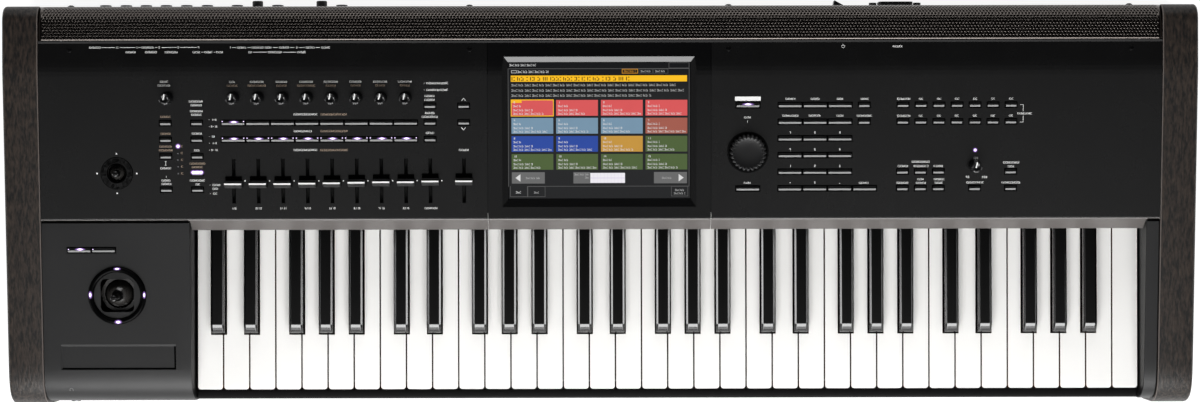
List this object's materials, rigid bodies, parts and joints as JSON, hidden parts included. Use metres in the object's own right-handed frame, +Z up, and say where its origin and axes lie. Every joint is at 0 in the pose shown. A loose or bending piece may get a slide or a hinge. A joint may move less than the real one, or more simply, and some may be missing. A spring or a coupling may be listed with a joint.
{
  "type": "music workstation keyboard",
  "caption": "Music workstation synthesizer with full-size keys, sloping control deck, touch display, sliders, knobs, dial, joystick and ribbon.",
  "frame": {"origin": "on the standing surface, under the middle of the instrument's overall box", "axes": "+X to the player's right along the keys, +Y to the rear, +Z up"},
  "size_m": [1.052, 0.362, 0.1335],
  "materials": {
    "panel_paint": "fine satin black paint on steel",
    "cheek_finish": "brown-black moulding with a fine lengthwise grain",
    "moulded_front": "satin black moulding",
    "display_plate": "glossy black",
    "screen_glass": "smooth glass over a colour screen",
    "key_frame_moulding": "plain moulding",
    "circuit_board": "green lacquer with parts",
    "power_case": "folded sheet, black at the rear face",
    "foot_rubber": "black rubber",
    "white_key": "smooth ivory white",
    "black_key": "smooth black, slightly matt",
    "button_cap": "black caps with light grey front bevels",
    "knob_plastic": "satin black with a white pointer line",
    "slider_cap": "satin black with a white centre line",
    "stick_moulding": "plain black moulding",
    "stick_rubber": "soft black"
  },
  "bodies": {
    "casing": {"chassis_pan": "panel_paint", "left_cheek": "cheek_finish", "right_cheek": "cheek_finish", "top_panel": "panel_paint", "rear_grille": "panel_paint", "joystick_panel": "moulded_front", "key_slip": "moulded_front", "display_bezel": "display_plate", "touch_screen": "screen_glass", "key_frame": "key_frame_moulding", "panel_board": "circuit_board", "main_board": "circuit_board", "power_supply": "power_case", "foot_front_left": "foot_rubber", "foot_front_right": "foot_rubber", "foot_rear_left": "foot_rubber", "foot_rear_right": "foot_rubber"},
    "white_keys_octave_1": {"white_keys_octave_1": "white_key"},
    "white_keys_octave_2": {"white_keys_octave_2": "white_key"},
    "white_keys_octave_3": {"white_keys_octave_3": "white_key"},
    "white_keys_octave_4": {"white_keys_octave_4": "white_key"},
    "white_keys_octave_5": {"white_keys_octave_5": "white_key"},
    "black_keys_octave_1": {"black_keys_octave_1": "black_key"},
    "black_keys_octave_2": {"black_keys_octave_2": "black_key"},
    "black_keys_octave_3": {"black_keys_octave_3": "black_key"},
    "black_keys_octave_4": {"black_keys_octave_4": "black_key"},
    "black_keys_octave_5": {"black_keys_octave_5": "black_key"},
    "left_buttons": {"left_buttons": "button_cap"},
    "mixer_buttons": {"mixer_buttons": "button_cap"},
    "mode_and_keypad_buttons": {"mode_and_keypad_buttons": "button_cap"},
    "bank_and_sequencer_buttons": {"bank_and_sequencer_buttons": "button_cap"},
    "switch_buttons": {"switch_buttons": "button_cap"},
    "volume_knob": {"volume_knob": "knob_plastic"},
    "control_knob_1": {"control_knob_1": "knob_plastic"},
    "control_knob_2": {"control_knob_2": "knob_plastic"},
    "control_knob_3": {"control_knob_3": "knob_plastic"},
    "control_knob_4": {"control_knob_4": "knob_plastic"},
    "control_knob_5": {"control_knob_5": "knob_plastic"},
    "control_knob_6": {"control_knob_6": "knob_plastic"},
    "control_knob_7": {"control_knob_7": "knob_plastic"},
    "control_knob_8": {"control_knob_8": "knob_plastic"},
    "tempo_knob": {"tempo_knob": "knob_plastic"},
    "value_dial": {"value_dial": "knob_plastic"},
    "mix_slider_1": {"mix_slider_1": "slider_cap"},
    "mix_slider_2": {"mix_slider_2": "slider_cap"},
    "mix_slider_3": {"mix_slider_3": "slider_cap"},
    "mix_slider_4": {"mix_slider_4": "slider_cap"},
    "mix_slider_5": {"mix_slider_5": "slider_cap"},
    "mix_slider_6": {"mix_slider_6": "slider_cap"},
    "mix_slider_7": {"mix_slider_7": "slider_cap"},
    "mix_slider_8": {"mix_slider_8": "slider_cap"},
    "master_slider": {"master_slider": "slider_cap"},
    "value_slider": {"value_slider": "slider_cap"},
    "joystick_gimbal": {"joystick_gimbal": "stick_moulding"},
    "joystick_lever": {"joystick_lever": "stick_rubber"},
    "vector_gimbal": {"vector_gimbal": "stick_moulding"},
    "vector_lever": {"vector_lever": "stick_rubber"},
    "power_rocker": {"power_rocker": "button_cap"},
    "level_knob_1": {"level_knob_1": "knob_plastic"},
    "level_knob_2": {"level_knob_2": "knob_plastic"}
  },
  "joints": [
    {"name": "white_keys_1_hinge", "type": "hinge", "parent": "casing", "child": "white_keys_octave_1", "pos_m": [-0.2797, 0.0355, 0.065], "axis": [1, 0, 0], "range_deg": [0, 2.9], "stiffness_Nm_per_rad": 10, "springref_deg": -5.73},
    {"name": "white_keys_2_hinge", "type": "hinge", "parent": "casing", "child": "white_keys_octave_2", "pos_m": [-0.1157, 0.0355, 0.065], "axis": [1, 0, 0], "range_deg": [0, 2.9], "stiffness_Nm_per_rad": 10, "springref_deg": -5.73},
    {"name": "white_keys_3_hinge", "type": "hinge", "parent": "casing", "child": "white_keys_octave_3", "pos_m": [0.0483, 0.0355, 0.065], "axis": [1, 0, 0], "range_deg": [0, 2.9], "stiffness_Nm_per_rad": 10, "springref_deg": -5.73},
    {"name": "white_keys_4_hinge", "type": "hinge", "parent": "casing", "child": "white_keys_octave_4", "pos_m": [0.2123, 0.0355, 0.065], "axis": [1, 0, 0], "range_deg": [0, 2.9], "stiffness_Nm_per_rad": 10, "springref_deg": -5.73},
    {"name": "white_keys_5_hinge", "type": "hinge", "parent": "casing", "child": "white_keys_octave_5", "pos_m": [0.3763, 0.0355, 0.065], "axis": [1, 0, 0], "range_deg": [0, 2.9], "stiffness_Nm_per_rad": 10, "springref_deg": -5.73},
    {"name": "black_keys_1_hinge", "type": "hinge", "parent": "casing", "child": "black_keys_octave_1", "pos_m": [-0.2797, 0.0355, 0.065], "axis": [1, 0, 0], "range_deg": [0, 2.9], "stiffness_Nm_per_rad": 7, "springref_deg": -5.73},
    {"name": "black_keys_2_hinge", "type": "hinge", "parent": "casing", "child": "black_keys_octave_2", "pos_m": [-0.1157, 0.0355, 0.065], "axis": [1, 0, 0], "range_deg": [0, 2.9], "stiffness_Nm_per_rad": 7, "springref_deg": -5.73},
    {"name": "black_keys_3_hinge", "type": "hinge", "parent": "casing", "child": "black_keys_octave_3", "pos_m": [0.0483, 0.0355, 0.065], "axis": [1, 0, 0], "range_deg": [0, 2.9], "stiffness_Nm_per_rad": 7, "springref_deg": -5.73},
    {"name": "black_keys_4_hinge", "type": "hinge", "parent": "casing", "child": "black_keys_octave_4", "pos_m": [0.2123, 0.0355, 0.065], "axis": [1, 0, 0], "range_deg": [0, 2.9], "stiffness_Nm_per_rad": 7, "springref_deg": -5.73},
    {"name": "black_keys_5_hinge", "type": "hinge", "parent": "casing", "child": "black_keys_octave_5", "pos_m": [0.3763, 0.0355, 0.065], "axis": [1, 0, 0], "range_deg": [0, 2.9], "stiffness_Nm_per_rad": 7, "springref_deg": -5.73},
    {"name": "left_buttons_press", "type": "slide", "parent": "casing", "child": "left_buttons", "axis": [0, -0.0959, 0.9954], "range_m": [-0.0012, 0], "stiffness_N_per_m": 400, "springref_m": 0.003},
    {"name": "mixer_buttons_press", "type": "slide", "parent": "casing", "child": "mixer_buttons", "axis": [0, -0.0959, 0.9954], "range_m": [-0.0012, 0], "stiffness_N_per_m": 400, "springref_m": 0.003},
    {"name": "mode_and_keypad_buttons_press", "type": "slide", "parent": "casing", "child": "mode_and_keypad_buttons", "axis": [0, -0.0959, 0.9954], "range_m": [-0.0012, 0], "stiffness_N_per_m": 400, "springref_m": 0.003},
    {"name": "bank_and_sequencer_buttons_press", "type": "slide", "parent": "casing", "child": "bank_and_sequencer_buttons", "axis": [0, -0.0959, 0.9954], "range_m": [-0.0012, 0], "stiffness_N_per_m": 400, "springref_m": 0.003},
    {"name": "switch_buttons_press", "type": "slide", "parent": "casing", "child": "switch_buttons", "axis": [0, -0.0959, 0.9954], "range_m": [-0.0012, 0], "stiffness_N_per_m": 400, "springref_m": 0.003},
    {"name": "volume_knob_turn", "type": "hinge", "parent": "casing", "child": "volume_knob", "pos_m": [-0.3815, 0.0915, 0.11735], "axis": [0, -0.0959, 0.9954], "range_deg": [-150, 150]},
    {"name": "control_knob_1_turn", "type": "hinge", "parent": "casing", "child": "control_knob_1", "pos_m": [-0.3233, 0.0915, 0.11735], "axis": [0, -0.0959, 0.9954], "range_deg": [-150, 150]},
    {"name": "control_knob_2_turn", "type": "hinge", "parent": "casing", "child": "control_knob_2", "pos_m": [-0.3016, 0.0915, 0.11735], "axis": [0, -0.0959, 0.9954], "range_deg": [-150, 150]},
    {"name": "control_knob_3_turn", "type": "hinge", "parent": "casing", "child": "control_knob_3", "pos_m": [-0.2799, 0.0915, 0.11735], "axis": [0, -0.0959, 0.9954], "range_deg": [-150, 150]},
    {"name": "control_knob_4_turn", "type": "hinge", "parent": "casing", "child": "control_knob_4", "pos_m": [-0.2582, 0.0915, 0.11735], "axis": [0, -0.0959, 0.9954], "range_deg": [-150, 150]},
    {"name": "control_knob_5_turn", "type": "hinge", "parent": "casing", "child": "control_knob_5", "pos_m": [-0.2365, 0.0915, 0.11735], "axis": [0, -0.0959, 0.9954], "range_deg": [-150, 150]},
    {"name": "control_knob_6_turn", "type": "hinge", "parent": "casing", "child": "control_knob_6", "pos_m": [-0.2148, 0.0915, 0.11735], "axis": [0, -0.0959, 0.9954], "range_deg": [-150, 150]},
    {"name": "control_knob_7_turn", "type": "hinge", "parent": "casing", "child": "control_knob_7", "pos_m": [-0.1931, 0.0915, 0.11735], "axis": [0, -0.0959, 0.9954], "range_deg": [-150, 150]},
    {"name": "control_knob_8_turn", "type": "hinge", "parent": "casing", "child": "control_knob_8", "pos_m": [-0.1714, 0.0915, 0.11735], "axis": [0, -0.0959, 0.9954], "range_deg": [-150, 150]},
    {"name": "tempo_knob_turn", "type": "hinge", "parent": "casing", "child": "tempo_knob", "pos_m": [0.3301, 0.03058, 0.11149], "axis": [0, -0.0959, 0.9954], "range_deg": [-150, 150]},
    {"name": "value_dial_turn", "type": "hinge", "parent": "casing", "child": "value_dial", "pos_m": [0.13, 0.04323, 0.1127], "axis": [0, -0.0959, 0.9954], "continuous": true},
    {"name": "mix_slider_1_slide", "type": "slide", "parent": "casing", "child": "mix_slider_1", "axis": [0, 0.9954, 0.0959], "range_m": [-0.0147, 0.0201]},
    {"name": "mix_slider_2_slide", "type": "slide", "parent": "casing", "child": "mix_slider_2", "axis": [0, 0.9954, 0.0959], "range_m": [-0.0148, 0.02]},
    {"name": "mix_slider_3_slide", "type": "slide", "parent": "casing", "child": "mix_slider_3", "axis": [0, 0.9954, 0.0959], "range_m": [-0.0148, 0.02]},
    {"name": "mix_slider_4_slide", "type": "slide", "parent": "casing", "child": "mix_slider_4", "axis": [0, 0.9954, 0.0959], "range_m": [-0.0151, 0.0197]},
    {"name": "mix_slider_5_slide", "type": "slide", "parent": "casing", "child": "mix_slider_5", "axis": [0, 0.9954, 0.0959], "range_m": [-0.0154, 0.0194]},
    {"name": "mix_slider_6_slide", "type": "slide", "parent": "casing", "child": "mix_slider_6", "axis": [0, 0.9954, 0.0959], "range_m": [-0.0158, 0.019]},
    {"name": "mix_slider_7_slide", "type": "slide", "parent": "casing", "child": "mix_slider_7", "axis": [0, 0.9954, 0.0959], "range_m": [-0.0162, 0.0186]},
    {"name": "mix_slider_8_slide", "type": "slide", "parent": "casing", "child": "mix_slider_8", "axis": [0, 0.9954, 0.0959], "range_m": [-0.0162, 0.0186]},
    {"name": "master_slider_slide", "type": "slide", "parent": "casing", "child": "master_slider", "axis": [0, 0.9954, 0.0959], "range_m": [-0.0168, 0.018]},
    {"name": "value_slider_slide", "type": "slide", "parent": "casing", "child": "value_slider", "axis": [0, 0.9954, 0.0959], "range_m": [-0.0169, 0.0179]},
    {"name": "joystick_to_and_fro", "type": "hinge", "parent": "casing", "child": "joystick_gimbal", "pos_m": [-0.4282, -0.08096, 0.08467], "axis": [1, 0, 0], "range_deg": [-20, 20], "stiffness_Nm_per_rad": 0.2},
    {"name": "joystick_sideways", "type": "hinge", "parent": "joystick_gimbal", "child": "joystick_lever", "pos_m": [-0.4282, -0.08096, 0.08467], "axis": [0, 0.9954, 0.0959], "range_deg": [-20, 20], "stiffness_Nm_per_rad": 0.2},
    {"name": "vector_to_and_fro", "type": "hinge", "parent": "casing", "child": "vector_gimbal", "pos_m": [-0.4264, 0.02662, 0.10257], "axis": [1, 0, 0], "range_deg": [-20, 20], "stiffness_Nm_per_rad": 0.05},
    {"name": "vector_sideways", "type": "hinge", "parent": "vector_gimbal", "child": "vector_lever", "pos_m": [-0.4264, 0.02662, 0.10257], "axis": [0, 0.9954, 0.0959], "range_deg": [-20, 20], "stiffness_Nm_per_rad": 0.05},
    {"name": "power_rocker_tip", "type": "hinge", "parent": "casing", "child": "power_rocker", "pos_m": [0.2192, 0.1733, 0.0575], "axis": [0, 0, 1], "range_deg": [0, 28]},
    {"name": "level_knob_1_turn", "type": "hinge", "parent": "casing", "child": "level_knob_1", "pos_m": [-0.308, 0.1733, 0.06], "axis": [0, 1, 0], "range_deg": [-150, 150]},
    {"name": "level_knob_2_turn", "type": "hinge", "parent": "casing", "child": "level_knob_2", "pos_m": [-0.2504, 0.1733, 0.06], "axis": [0, 1, 0], "range_deg": [-150, 150]}
  ]
}
